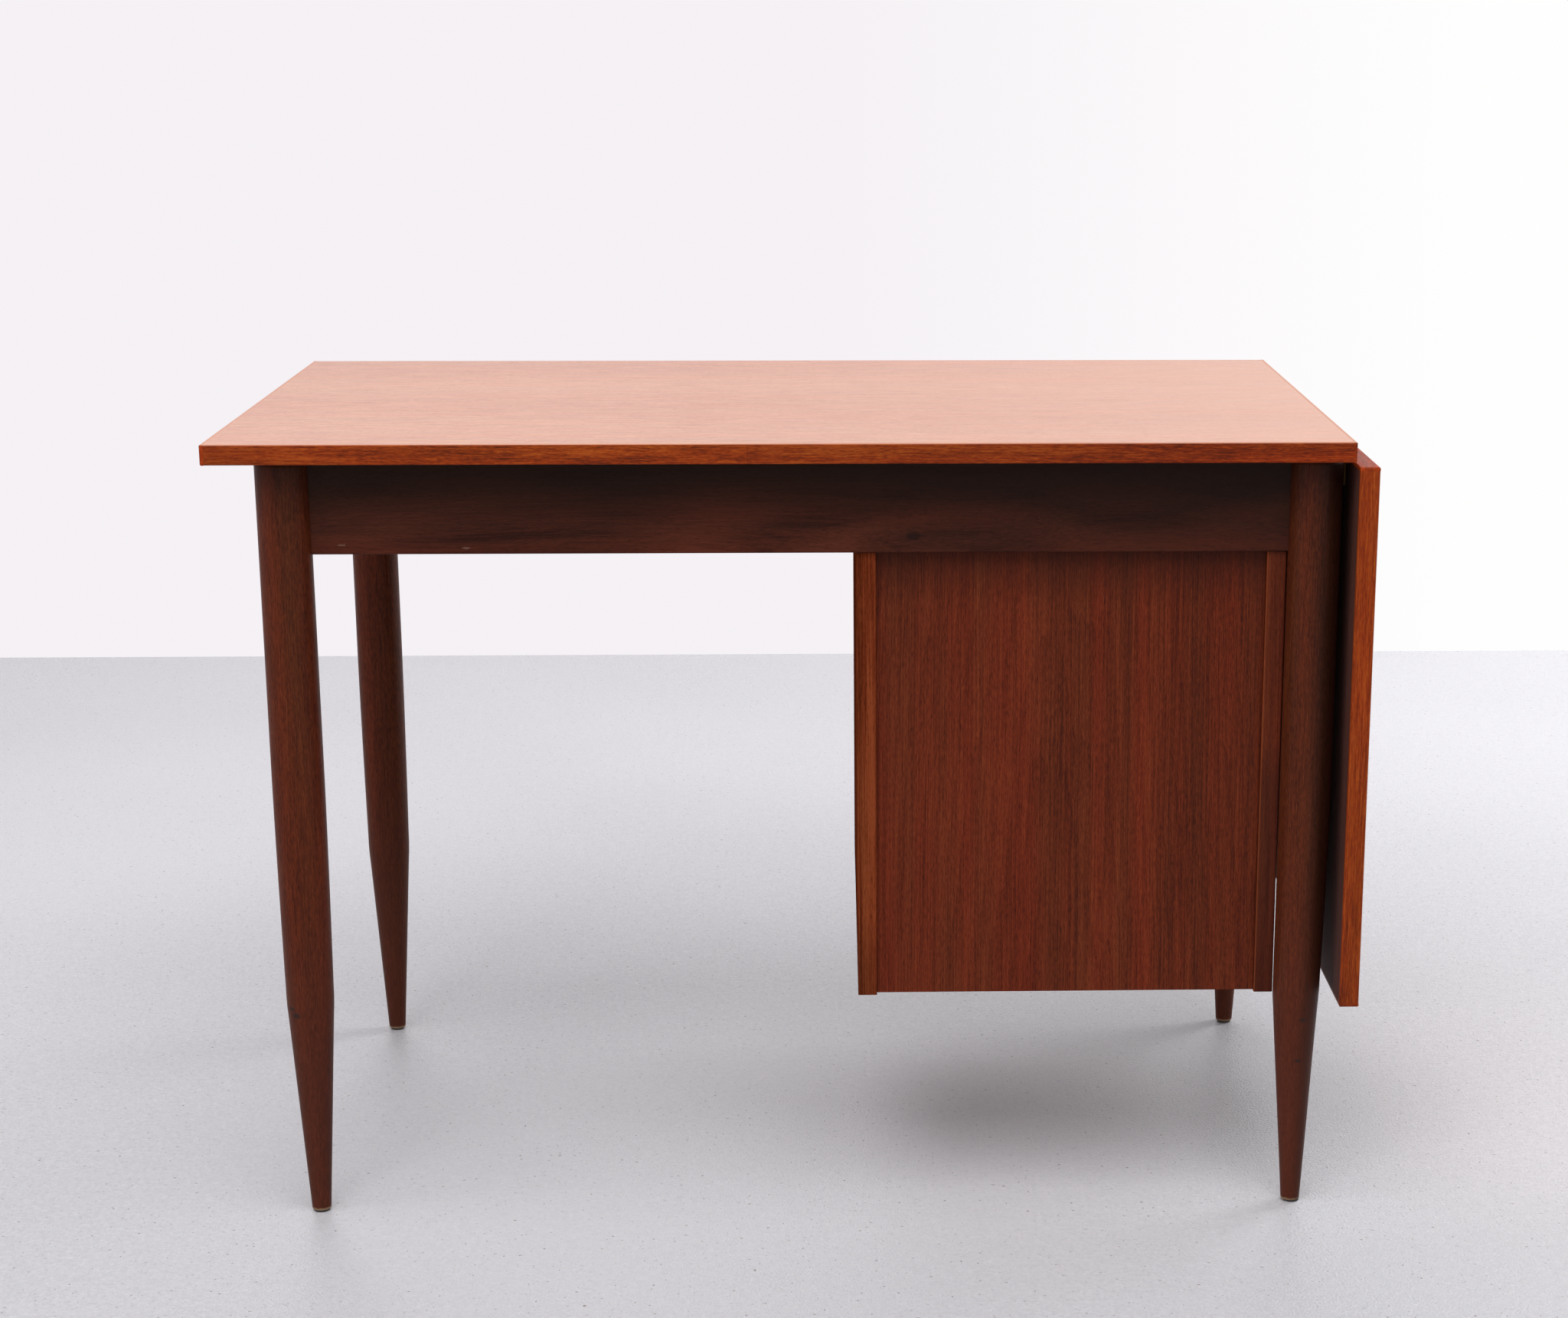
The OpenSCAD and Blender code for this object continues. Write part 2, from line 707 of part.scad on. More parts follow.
module drawer_side(i) {
    difference() {
        union() {
            block([box_x0, front_y1, side_z0(i)], [box_x0 + side_t, box_y1, side_z1(i)]);
            dovetails(i);
        }
        block([box_x0 - over, front_y1 + over, runner_z(i) - groove_h / 2],
            [box_x0 + groove_d, box_y1 + over, runner_z(i) + groove_h / 2]);
        base_space(i, seat_fit);
        block([box_x0 + side_t - base_groove, rear_y0, side_z0(i) + base_up],
            [box_x0 + side_t + over, rear_y1, side_z1(i) + over]);
    }
}

module drawer_rear(i) {
    color(beech) block([box_x0 + side_t - base_groove, rear_y0, side_z0(i) + base_up + base_t],
        [box_x1 - side_t + base_groove, rear_y1, side_z1(i)]);
}

// A carved pull: a bow in plan, with a rounded nose and a finger hollow under it
module drawer_pull(i) {
    bow_r = (pow(pull_w / 2, 2) + pow(pull_out, 2)) / (2 * pull_out);
    nose_r = pull_h / 3;
    z = front_zs[i] + front_hs[i] / 2 - pull_h / 2;
    hollow_y = -pull_out + pull_wall + hollow_r;
    hollow_l = pull_w / 2 - hollow_r * 2.5;
    color(teak_case) translate([(box_x0 + box_x1) / 2, front_y0, z]) difference() {
        intersection() {
            translate([0, bow_r - pull_out, 0]) cylinder(h = pull_h, r = bow_r, $fn = 96);
            along_x(-pull_w / 2, pull_w / 2) translate([-pull_out, 0])
                polygon(eased(pull_out, pull_h, [nose_r, 0, 0, nose_r]));
        }
        translate([-hollow_l / 2, hollow_y, 0]) rotate([0, 90, 0])
            cylinder(h = hollow_l, r = hollow_r);
        for (x = [-hollow_l / 2, hollow_l / 2]) translate([x, hollow_y, 0]) sphere(r = hollow_r);
    }
}

module top_drawer_front() { drawer_front(0); }
module middle_drawer_front() { drawer_front(1); }
module bottom_drawer_front() { drawer_front(2); }
module top_drawer_left_side() { color(beech) drawer_side(0); }
module middle_drawer_left_side() { color(beech) drawer_side(1); }
module bottom_drawer_left_side() { color(beech) drawer_side(2); }
module top_drawer_right_side() { color(beech) drawer_mirror() drawer_side(0); }
module middle_drawer_right_side() { color(beech) drawer_mirror() drawer_side(1); }
module bottom_drawer_right_side() { color(beech) drawer_mirror() drawer_side(2); }
module top_drawer_rear() { drawer_rear(0); }
module middle_drawer_rear() { drawer_rear(1); }
module bottom_drawer_rear() { drawer_rear(2); }
module top_drawer_bottom() { color(ply) base_space(0); }
module middle_drawer_bottom() { color(ply) base_space(1); }
module bottom_drawer_bottom() { color(ply) base_space(2); }
module top_drawer_pull() { drawer_pull(0); }
module middle_drawer_pull() { drawer_pull(1); }
module bottom_drawer_pull() { drawer_pull(2); }

// ---- Hinges ----

// Knuckles of one hinge, every second one from the given one, round the pivot
module hinge_knuckles(first, grow = 0) {
    for (k = [first:2:knuckles - 1])
        translate([pivot_x, -hinge_l / 2 + k * knuckle_l + run_gap / 2 - grow, pivot_z])
            rotate([-90, 0, 0])
                cylinder(h = knuckle_l - run_gap + 2 * grow, r = knuckle_r + grow);
}

// The bore through a hinge's knuckles
module hinge_bore() {
    translate([pivot_x, -hinge_l / 2 - over, pivot_z]) rotate([-90, 0, 0])
        cylinder(h = hinge_l + 2 * over, r = pin_d / 2 + pin_fit);
}

module hinge_plates_top() {
    color(brass) difference() {
        for (y = hinge_ys) translate([0, y, 0]) difference() {
            union() {
                difference() {
                    block([pivot_x, -hinge_l / 2, under_z - plate_t],
                        [pivot_x + fixed_plate_w, hinge_l / 2, under_z]);
                    for (k = [1:2:knuckles - 1])
                        block([pivot_x - over, -hinge_l / 2 + k * knuckle_l - run_gap / 2,
                                under_z - plate_t - over],
                            [pivot_x + knuckle_r + run_gap,
                                -hinge_l / 2 + (k + 1) * knuckle_l + run_gap / 2,
                                under_z + over]);
                }
                hinge_knuckles(0);
            }
            hinge_bore();
        }
        at_hinge_screws_top() screw(screw_l, screw_d, seat_fit);
    }
}

module hinge_plates_leaf() {
    color(brass) difference() {
        for (y = hinge_ys) translate([0, y, 0]) difference() {
            union() {
                difference() {
                    block([leaf_inner_x, -hinge_l / 2, pivot_z - leaf_plate_w],
                        [leaf_inner_x + plate_t, hinge_l / 2, pivot_z]);
                    for (k = [0:2:knuckles - 1])
                        block([leaf_inner_x - over,
                                -hinge_l / 2 + k * knuckle_l - run_gap / 2,
                                pivot_z - knuckle_r - run_gap],
                            [leaf_inner_x + plate_t + over,
                                -hinge_l / 2 + (k + 1) * knuckle_l + run_gap / 2,
                                pivot_z + over]);
                }
                hinge_knuckles(1);
            }
            hinge_bore();
        }
        at_hinge_screws_leaf() screw(screw_l, screw_d, seat_fit);
    }
}

module hinge_pins() {
    color(brass) for (y = hinge_ys) translate([pivot_x, y - hinge_l / 2, pivot_z])
        rotate([-90, 0, 0]) cylinder(h = hinge_l, r = pin_d / 2);
}

module hinge_screws_top() { color(brass) at_hinge_screws_top() screw(screw_l, screw_d); }
module hinge_screws_leaf() { color(brass) at_hinge_screws_leaf() screw(screw_l, screw_d); }

// ---- Stays ----

// The back stay's layers along Y, from the middle of the desk outwards:
// leaf ear, short arm, long arm, apron ear, each arm_t thick and run_gap apart
function layer(k) = stay_y + k * (arm_t + run_gap);

// A round pin along Y at the point p
module pin_y(p, y0, y1, r) {
    translate([p[0], y0, p[1]]) rotate([-90, 0, 0]) cylinder(h = y1 - y0, r = r);
}

// An ear: a tongue of metal from the mounting plate at x0 to the pivot p
module ear(p, x0, y0) {
    along_y(y0, y0 + arm_t) polygon(bar([x0, p[1]], p, arm_w));
}

// The bracket on the apron: plate, ear, and a rivet that the long arm turns on
module apron_bracket() {
    difference() {
        union() {
            block([apron_left_x - arm_t, layer(1), stay_f[1] - stay_plate_l / 2],
                [apron_left_x, layer(1) + stay_plate_w, stay_f[1] + stay_plate_l / 2]);
            intersection() {
                ear(stay_f, apron_left_x, layer(3));
                block([leaf_outer_x, 0, 0], [apron_left_x, top_d, desk_h]);
            }
        }
        pin_y(stay_f, layer(3) - over, layer(4) + over, rivet_d / 2);
    }
    pin_y(stay_f, layer(2) - run_gap, layer(3) + arm_t, rivet_d / 2);
    pin_y(stay_f, layer(2) - run_gap - rivet_head_t, layer(2) - run_gap, rivet_head_d / 2);
}

// The bracket on the leaf: plate, ear, and a rivet that the short arm turns on
module leaf_bracket() {
    difference() {
        union() {
            block([leaf_inner_x, layer(1) - run_gap - stay_plate_w, stay_l[1] - stay_plate_l / 2],
                [leaf_inner_x + arm_t, layer(1) - run_gap, stay_l[1] + stay_plate_l / 2]);
            intersection() {
                ear(stay_l, leaf_inner_x, layer(0));
                block([leaf_inner_x, 0, 0], [top_x1, top_d, desk_h]);
            }
        }
        pin_y(stay_l, layer(0) - over, layer(1), rivet_d / 2);
    }
    pin_y(stay_l, layer(0), layer(1) + arm_t, rivet_d / 2);
    pin_y(stay_l, layer(0) - rivet_head_t, layer(0), rivet_head_d / 2);
}

// The long arm, with its half of the elbow rivet
module long_arm() {
    difference() {
        along_y(layer(2), layer(2) + arm_t) polygon(bar(stay_f, stay_elbow, arm_w));
        pin_y(stay_f, layer(2) - over, layer(3), rivet_d / 2 + pin_fit);
    }
    pin_y(stay_elbow, layer(2) + arm_t, layer(2) + arm_t + rivet_head_t, rivet_head_d / 2);
}

// The short arm, with its half of the elbow rivet
module short_arm() {
    difference() {
        along_y(layer(1), layer(1) + arm_t) polygon(bar(stay_l, stay_elbow, arm_w));
        pin_y(stay_l, layer(1) - over, layer(2), rivet_d / 2 + pin_fit);
    }
    pin_y(stay_elbow, layer(1) - rivet_head_t, layer(1), rivet_head_d / 2);
}

module stay_brackets_apron() {
    color(brass) for (m = [0, 1]) mirror([0, m, 0]) apron_bracket();
}

module stay_brackets_leaf() {
    color(brass) for (m = [0, 1]) mirror([0, m, 0]) leaf_bracket();
}

module stay_long_arm_back() { color(brass) long_arm(); }
module stay_long_arm_front() { color(brass) mirror([0, 1, 0]) long_arm(); }
module stay_short_arm_back() { color(brass) short_arm(); }
module stay_short_arm_front() { color(brass) mirror([0, 1, 0]) short_arm(); }

top_panel();
top_lipping_left();
top_lipping_right();
top_lipping_front();
top_lipping_back();
leg_front_left();
leg_front_right();
leg_back_left();
leg_back_right();
foot_glides();
apron_front();
apron_back();
apron_left();
apron_right();
corner_blocks();
top_screws();
pedestal_left_side();
pedestal_right_side();
pedestal_bottom();
pedestal_top();
pedestal_back();
hanging_rails();
pedestal_bolts();
drawer_runners();
drawer_stops();
top_drawer_front();
top_drawer_left_side();
top_drawer_right_side();
top_drawer_rear();
top_drawer_bottom();
top_drawer_pull();
middle_drawer_front();
middle_drawer_left_side();
middle_drawer_right_side();
middle_drawer_rear();
middle_drawer_bottom();
middle_drawer_pull();
bottom_drawer_front();
bottom_drawer_left_side();
bottom_drawer_right_side();
bottom_drawer_rear();
bottom_drawer_bottom();
bottom_drawer_pull();
leaf_panel();
leaf_lipping_hinge();
leaf_lipping_free();
leaf_lipping_front();
leaf_lipping_back();
hinge_plates_top();
hinge_plates_leaf();
hinge_pins();
hinge_screws_top();
hinge_screws_leaf();
stay_brackets_apron();
stay_brackets_leaf();
stay_long_arm_front();
stay_long_arm_back();
stay_short_arm_front();
stay_short_arm_back();
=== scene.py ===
"""Writing desk with drawers and a hanging leaf: camera, studio, finishes and turned legs.

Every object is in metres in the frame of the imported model: +X is the sitter's right, +Y the
back of the desk, +Z up. The CAD nodes keep their shapes and get their finishes here.
"""
import math

import bpy
import numpy as np
from mathutils import Matrix, Vector


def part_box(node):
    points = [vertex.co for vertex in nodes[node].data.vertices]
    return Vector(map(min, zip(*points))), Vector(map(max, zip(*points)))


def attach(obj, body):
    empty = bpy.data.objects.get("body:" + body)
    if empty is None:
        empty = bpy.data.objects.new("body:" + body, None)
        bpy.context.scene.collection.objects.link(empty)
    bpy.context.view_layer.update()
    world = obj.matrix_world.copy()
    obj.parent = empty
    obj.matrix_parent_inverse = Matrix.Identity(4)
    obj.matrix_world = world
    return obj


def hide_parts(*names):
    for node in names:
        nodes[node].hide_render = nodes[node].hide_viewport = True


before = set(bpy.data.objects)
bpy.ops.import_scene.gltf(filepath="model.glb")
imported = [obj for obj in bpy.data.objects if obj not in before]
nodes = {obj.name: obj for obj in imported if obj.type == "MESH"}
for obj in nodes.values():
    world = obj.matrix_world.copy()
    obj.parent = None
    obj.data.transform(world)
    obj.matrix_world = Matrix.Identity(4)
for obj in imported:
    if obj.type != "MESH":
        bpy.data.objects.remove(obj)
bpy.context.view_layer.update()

scene = bpy.context.scene
scene.view_settings.view_transform = "Standard"

# ---------------------------------------------------------------- camera

LENS, SENSOR_W = 69.1962890625, 36.0        # millimetres
SHIFT_X, SHIFT_Y = -0.0984375, 0.09765625   # in widths of the sensor
PITCH, YAW, ROLL = 0.2686, -0.0343, 0.0027  # radians
NEAREST, FARTHEST = 0.05, 60.0
EYE = Vector((-0.0368, 2.9157, 1.1172))


def make_camera():
    """Stands behind the desk and looks along -Y, turned by YAW, down by PITCH and over by ROLL."""
    data = bpy.data.cameras.new("camera")
    data.sensor_width, data.lens = SENSOR_W, LENS
    data.shift_x, data.shift_y = SHIFT_X, SHIFT_Y
    data.clip_start, data.clip_end = NEAREST, FARTHEST
    ahead = Vector((math.sin(YAW) * math.cos(PITCH), -math.cos(YAW) * math.cos(PITCH),
                    -math.sin(PITCH)))
    right = Vector((-math.cos(YAW), -math.sin(YAW), 0))
    up = right.cross(ahead)
    right, up = (right * math.cos(ROLL) + up * math.sin(ROLL),
                 up * math.cos(ROLL) - right * math.sin(ROLL))
    turn = Matrix((right, up, -ahead)).transposed()
    camera = bpy.data.objects.new("camera", data)
    camera.matrix_world = Matrix.Translation(EYE) @ turn.to_4x4()
    scene.collection.objects.link(camera)
    scene.camera = camera


make_camera()

# ---------------------------------------------------------------- node helpers


def srgb(r, g, b):
    """A colour written in 0 to 255 as a screen shows it, as the linear colour a shader takes."""
    c = np.array([r, g, b]) / 255.0
    c = np.where(c <= 0.04045, c / 12.92, ((c + 0.055) / 1.055) ** 2.4)
    return (*[float(v) for v in c], 1.0)


def new_node(tree, kind, given, **props):
    """Adds a node and returns its outputs. An input is a number, a tuple or another node's socket."""
    node = tree.nodes.new("ShaderNode" + kind)
    for key, value in props.items():
        setattr(node, key, value)
    for key, value in given.items():
        if isinstance(value, bpy.types.NodeSocket):
            tree.links.new(value, node.inputs[key])
        else:
            node.inputs[key].default_value = value
    return node.outputs


class Finish:
    """One node material on Object coordinates. Each call adds a node and returns one output."""

    def __init__(self, name):
        self.mat = bpy.data.materials.new(name)
        self.mat.use_nodes = True
        self.tree = self.mat.node_tree
        self.tree.nodes.clear()
        self.place = self.add("TexCoord", {}, "Object")

    def add(self, kind, given, out=0, **props):
        return new_node(self.tree, kind, given, **props)[out]

    def sum(self, op, a, b=0.0):
        return self.add("Math", {0: a, 1: b}, operation=op)

    def along(self, axis):
        """The place with the grain's axis first, then the two axes across it."""
        order = {"x": "XYZ", "y": "YXZ", "z": "ZXY"}[axis]
        parts = new_node(self.tree, "SeparateXYZ", {0: self.place})
        return self.add("CombineXYZ", {i: parts[c] for i, c in enumerate(order)})

    def scaled(self, vector, scale, offset=(0, 0, 0)):
        return self.add("Mapping", {"Vector": vector, "Scale": scale, "Location": offset})

    def noise(self, vector, scale=1.0, detail=2.0, rough=0.5):
        return self.add("TexNoise", {"Vector": vector, "Scale": scale, "Detail": detail,
                                     "Roughness": rough}, "Fac")

    def span(self, value, lo, hi, to_lo=0.0, to_hi=1.0, smooth=False):
        given = {"Value": value, "From Min": lo, "From Max": hi, "To Min": to_lo, "To Max": to_hi}
        return self.add("MapRange", given, interpolation_type="SMOOTHSTEP" if smooth else "LINEAR")

    def ramp(self, value, stops):
        out = self.add("ValToRGB", {"Fac": value})
        band = out.node.color_ramp
        while len(band.elements) < len(stops):
            band.elements.new(0.5)
        for element, (at, colour) in zip(band.elements, stops):
            element.position, element.color = at, colour
        return out

    def mix(self, share, a, b, how="MIX"):
        return self.add("Mix", {0: share, 6: a, 7: b}, 2, data_type="RGBA", blend_type=how)

    def done(self, colour, rough, height, depth, relief, **plain):
        """Ends the finish. The height shows as relief, depth metres deep; plain sets more sockets."""
        bump = self.add("Bump", {"Height": height, "Distance": depth, "Strength": relief})
        given = {"Base Color": colour, "Roughness": rough, "Normal": bump}
        given.update({key.replace("_", " "): value for key, value in plain.items()})
        shader = self.add("BsdfPrincipled", given, "BSDF")
        end = self.tree.nodes.new("ShaderNodeOutputMaterial")
        self.tree.links.new(shader, end.inputs["Surface"])
        return self.mat


# ---------------------------------------------------------------- wood

GRAIN_DEPTH, GRAIN_RELIEF, COAT_ROUGH = 0.00018, 0.35, 0.3
SHEEN_UNDER_COAT = 0.45     # specular level that a coated place has above the bare wood


def wood(name, axis, colours, seed, bands=1.5, streaks=1.7, fibres=0.9, flecks=0.7, dashes=0.0,
         short=1.0, flow=0.0, rings=0.0, ring_at=(0.0, 0.1, 0.0), ring_rate=90.0, ring_edge=5.0,
         ragged=3.4, drift=0.6, pores=0.35, shine=0.44, specular=0.09, coat=0.0, extra=None,
         dull=None, coated=None):
    """Oiled teak or bare beech, with its grain along one axis.

    The tone is the sum of broad bands, streaks, fibres, flecks and short dashes, each a noise
    stretched along the grain, less the growth rings. Short shortens the grain, and flow bends it.
    A ring line is the fraction of radius times ring_rate, raised to ring_edge so that it comes up
    slowly and stops sharply, or a sine of it with a ring_edge of 0; ragged frays it. The radius is
    the distance from a heart at ring_at[0] across the grain, which lies ring_at[1] deep and sinks
    by ring_at[2] per metre, and that draws nested arches. Drift lets the hue wander between brown
    and red. Extra repaints places on top of the grain. Dull roughens places and takes the coat off
    them. Coated keeps the coat to some places, with more sheen under it.
    """
    f = Finish(name)
    g = f.along(axis)
    shift = (seed * 1.37, seed * 2.11, seed * 0.73)
    wander = f.noise(f.scaled(g, (1.6, 3.5, 3.5), shift), 1.0, 2.0)
    wander = f.sum("MULTIPLY", f.sum("SUBTRACT", wander, 0.5), 0.012 + flow)
    g2 = f.add("VectorMath", {0: g, 1: f.add("CombineXYZ", {1: wander, 2: wander})}, operation="ADD")
    # every noise lies about a half, and so does the sum
    value = 0.5 - 0.5 * (bands + streaks + fibres + flecks + dashes)
    # share of the tone, stretch along the grain and twice across it, detail
    layers = ((bands, (0.7, 9.0, 9.0), 2.0), (streaks, (2.4 * short, 90.0, 90.0), 3.0),
              (fibres, (12.0 * short, 800.0, 800.0), 3.0), (flecks, (160.0, 900.0, 900.0), 2.0),
              (dashes, (24.0, 320.0, 320.0), 3.0))
    drawn = []
    for share, stretch, detail in layers[:5 if dashes else 4]:
        drawn.append(f.noise(f.scaled(g2, stretch, shift), 1.0, detail, 0.6))
        value = f.sum("ADD", value, f.sum("MULTIPLY", drawn[-1], share))
    if rings:
        centre, sink, slope = ring_at
        lengthwise, crosswise, _ = new_node(f.tree, "SeparateXYZ", {0: g2})
        across = f.sum("SUBTRACT", crosswise, centre)
        into = f.sum("ADD", f.sum("MULTIPLY", lengthwise, slope), sink)
        radius = f.sum("SQRT", f.sum("ADD", f.sum("MULTIPLY", across, across),
                                     f.sum("MULTIPLY", into, into)))
        uneven = f.noise(f.scaled(g2, (2.2, 28.0, 28.0), shift), 1.0, 3.0)
        turn = f.sum("ADD", f.sum("MULTIPLY", radius, ring_rate), f.sum("MULTIPLY", uneven, ragged))
        if ring_edge:
            line = f.sum("POWER", f.sum("FRACT", turn), ring_edge)
        else:
            wave = f.sum("SINE", f.sum("MULTIPLY", turn, math.tau))
            line = f.sum("ADD", f.sum("MULTIPLY", wave, 0.5), 0.5)
        line = f.sum("MULTIPLY", line, f.sum("MULTIPLY", f.span(drawn[1], 0.3, 0.65), rings))
        value = f.sum("SUBTRACT", f.sum("ADD", value, rings * 0.12), line)
    dark, mid, pale = colours
    base = f.ramp(value, [(0.08, dark), (0.5, mid), (0.92, pale)])
    hue = f.span(f.noise(f.scaled(g2, (1.3, 38.0, 38.0), shift[::-1]), 1.0, 2.0), 0.36, 0.64)
    hue = f.mix(hue, (1 - 0.10 * drift, 1 + 0.06 * drift, 1 + 0.02 * drift, 1),
                (1 + 0.10 * drift, 1 - 0.06 * drift, 1 - 0.08 * drift, 1))
    base = f.mix(1.0, base, hue, "MULTIPLY")
    pore = f.noise(f.scaled(g2, (140.0, 1400.0, 1400.0), shift), 1.0, 1.0)
    pore = f.span(pore, 0.58, 0.70, 0.0, 1.0, smooth=True)
    in_pore = (dark[0] * 0.45, dark[1] * 0.4, dark[2] * 0.4, 1)
    base = f.mix(f.sum("MULTIPLY", pore, pores), base, in_pore)
    if extra:
        base = extra(f, base)
    height = f.sum("SUBTRACT", f.sum("MULTIPLY", drawn[2], 0.8), f.sum("MULTIPLY", pore, 0.5))
    open_grain = f.sum("ADD", drawn[1], f.sum("MULTIPLY", pore, 0.5))
    rough = f.span(open_grain, 0.2, 1.1, shine - 0.07, shine + 0.14)
    if dull:
        dulled = dull(f)
        rough = f.sum("ADD", rough, f.sum("MULTIPLY", dulled, 0.4))
        coat = f.sum("MULTIPLY", f.sum("SUBTRACT", 1.0, dulled), coat)
    if coated:
        under = coated(f)
        specular = f.sum("ADD", specular, f.sum("MULTIPLY", under, SHEEN_UNDER_COAT))
        coat = f.sum("MULTIPLY", under, coat)
    return f.done(base, rough, height, GRAIN_DEPTH, GRAIN_RELIEF, Specular_IOR_Level=specular,
                  Coat_Weight=coat, Coat_Roughness=COAT_ROUGH)


# each wood: its dark, middle and pale tone
TOP = (srgb(176, 94, 54), srgb(200, 127, 86), srgb(216, 151, 112))
LEAF = (srgb(160, 91, 56), srgb(188, 116, 76), srgb(206, 140, 100))
LIP = (srgb(88, 29, 6), srgb(145, 52, 9), srgb(178, 80, 23))
# POST is brighter than CASE: partly the orange of a solid edge, partly painted light
POST = (srgb(74, 28, 13), srgb(112, 48, 25), srgb(138, 67, 38))
LEG = (srgb(64, 26, 14), srgb(97, 44, 23), srgb(117, 57, 33))
APRON = (srgb(47, 19, 11), srgb(77, 36, 23), srgb(98, 48, 32))
CASE = (srgb(66, 23, 11), srgb(106, 42, 21), srgb(131, 59, 31))
BEECH = (srgb(196, 160, 116), srgb(214, 180, 136), srgb(226, 196, 156))
PLY = (srgb(186, 148, 104), srgb(204, 166, 120), srgb(218, 184, 140))
SCUFF = srgb(46, 34, 31)


def tinted(colours, share):
    """The three colours of a wood, darker or paler by a share."""
    return tuple((*[c * share for c in colour[:3]], 1.0) for colour in colours)


def coordinate(f, axis):
    """One coordinate of the place that is being coloured."""
    return f.add("SeparateXYZ", {0: f.place}, axis)


def zone(f, axis, start, full, share=1.0, smooth=True):
    """0 up to start along an axis and the share from full on, on whichever side of start full is."""
    return f.span(coordinate(f, axis), start, full, 0.0, share, smooth)


def stained(f, base, tone):
    """The wood with a transparent stain over it: each colour times the tone's."""
    return f.mix(1.0, base, tone, "MULTIPLY")


def painted_shade_under_top(f, base):
    """Painted shade: the strip of an apron right under the top is darker, as if the top shaded it."""
    return f.mix(zone(f, "Z", 0.624, 0.704, 0.86), base, srgb(22, 12, 5))


def knot_scuffs_and_painted_shade(f, base):
    """The rear apron has painted shade under the top and towards the leaf, one small knot near its
    lower edge and two pale scuffs at one end."""
    knot = [(spot("apron_back", 0.389, 1, 0.174), (0.009, 0.009, 0.005))]
    base = marked(f, painted_shade_under_top(f, base), knot, srgb(24, 11, 8), 0.7)
    # painted shade: darker towards the leaf
    base = f.mix(zone(f, "X", 0.04, -0.30, 0.45), base, srgb(26, 12, 8))
    scuffs = [(spot("apron_back", *at), (0.005, 0.003, 0.0012))
              for at in ((0.958, 1, 0.10), (0.835, 1, 0.065))]
    return marked(f, base, scuffs, srgb(132, 104, 88), 0.4)


def top_face(f):
    """1 on the upper face of the top and its lipping, 0 on their other sides."""
    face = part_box("top_panel")[1][2]
    return zone(f, "Z", face - 0.0008, face - 0.0003, smooth=False)


def leaf_face(f):
    """1 on the outer face of the leaf and its lipping, 0 on their other sides."""
    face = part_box("leaf_panel")[0][0]
    return zone(f, "X", face + 0.0008, face + 0.0003, smooth=False)


def bleached(f, base):
    """The upper face of the top's lipping is as pale as the veneer beside it."""
    return f.mix(f.sum("MULTIPLY", top_face(f), 0.9), base, TOP[1])


def bleached_outside(f, base):
    """The outer face of the leaf's lipping is as pale as the leaf's veneer."""
    return f.mix(f.sum("MULTIPLY", leaf_face(f), 0.9), base, LEAF[1])


def knots_and_painted_sheen(f, base):
    """Two pin knots in the upper veneer, a painted sheen towards the leaf, and a much darker underside.
    """
    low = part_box("top_panel")[0][2]
    base = f.mix(zone(f, "Z", low + 0.0015, low + 0.0005, smooth=False), base,
                 stained(f, base, srgb(84, 52, 42)))
    # painted sheen: the veneer paler and greyer towards the leaf
    base = f.mix(zone(f, "X", 0.1, -0.5, 0.5, smooth=False), base, srgb(218, 160, 134))
    spots = [(spot("top_panel", *at), (0.0025, 0.0018, 0.002))
             for at in ((0.595, 0.832, 1), (0.028, 0.309, 1))]
    return marked(f, base, spots, srgb(150, 70, 34), 0.7)


def jointed(f, base):
    """The rear lipping is glued from two lengths; one is darker, the more so the farther from the
    joint, which shows as a hairline. The other is darker at its free end."""
    where = spot("top_lipping_back", 0.53, 0, 0)[0]
    darker = f.sum("MULTIPLY", zone(f, "X", where, where - 0.001, smooth=False),
                   f.span(coordinate(f, "X"), where, where - 0.3, 0.5, 1.0))
    base = f.mix(darker, base, stained(f, base, srgb(228, 222, 222)))
    off = f.sum("ABSOLUTE", f.sum("SUBTRACT", coordinate(f, "X"), where))
    base = f.mix(zone(f, "X", 0.38, 0.5, 0.3, smooth=False), base, LIP[0])
    return bleached(f, f.mix(f.span(off, 0.0007, 0.0003, 0.0, 0.3), base, srgb(60, 20, 8)))


def leaf_inside(f):
    """1 on the leaf's inner side, which hangs towards the desk, and 0 on its other sides."""
    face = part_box("leaf_panel")[1][0]
    return zone(f, "X", face - 0.0015, face - 0.0005, smooth=False)


def dark_underside(f, base):
    """The leaf's inner side is much darker."""
    return f.mix(leaf_inside(f), base, stained(f, base, srgb(100, 70, 60)))


def painted_shade_under_apron(f, base):
    """Painted shade: a darker strip on the pedestal's back under the apron."""
    return f.mix(zone(f, "Z", 0.565, 0.622, 0.55), base, srgb(40, 16, 9))


def painted_edge_highlight(f, base):
    """A painted highlight: a thin pale line along the inner edge of this side panel. Its lower
    half is darker."""
    inside, rear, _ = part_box("pedestal_left_side")[1]
    inner = f.sum("MULTIPLY", zone(f, "X", inside - 0.0012, inside - 0.0005, smooth=False),
                  zone(f, "Y", rear - 0.002, rear - 0.001, smooth=False))
    base = f.mix(zone(f, "Z", 0.46, 0.40, 0.4), base, srgb(32, 16, 11))
    # painted highlight along the inner edge
    return f.mix(f.sum("MULTIPLY", inner, 0.35), base, srgb(172, 88, 48))


def dark_end(f, base):
    """The lower end of this side panel is a little darker."""
    return f.mix(zone(f, "Z", 0.29, 0.23, 0.35), base, srgb(48, 22, 14))


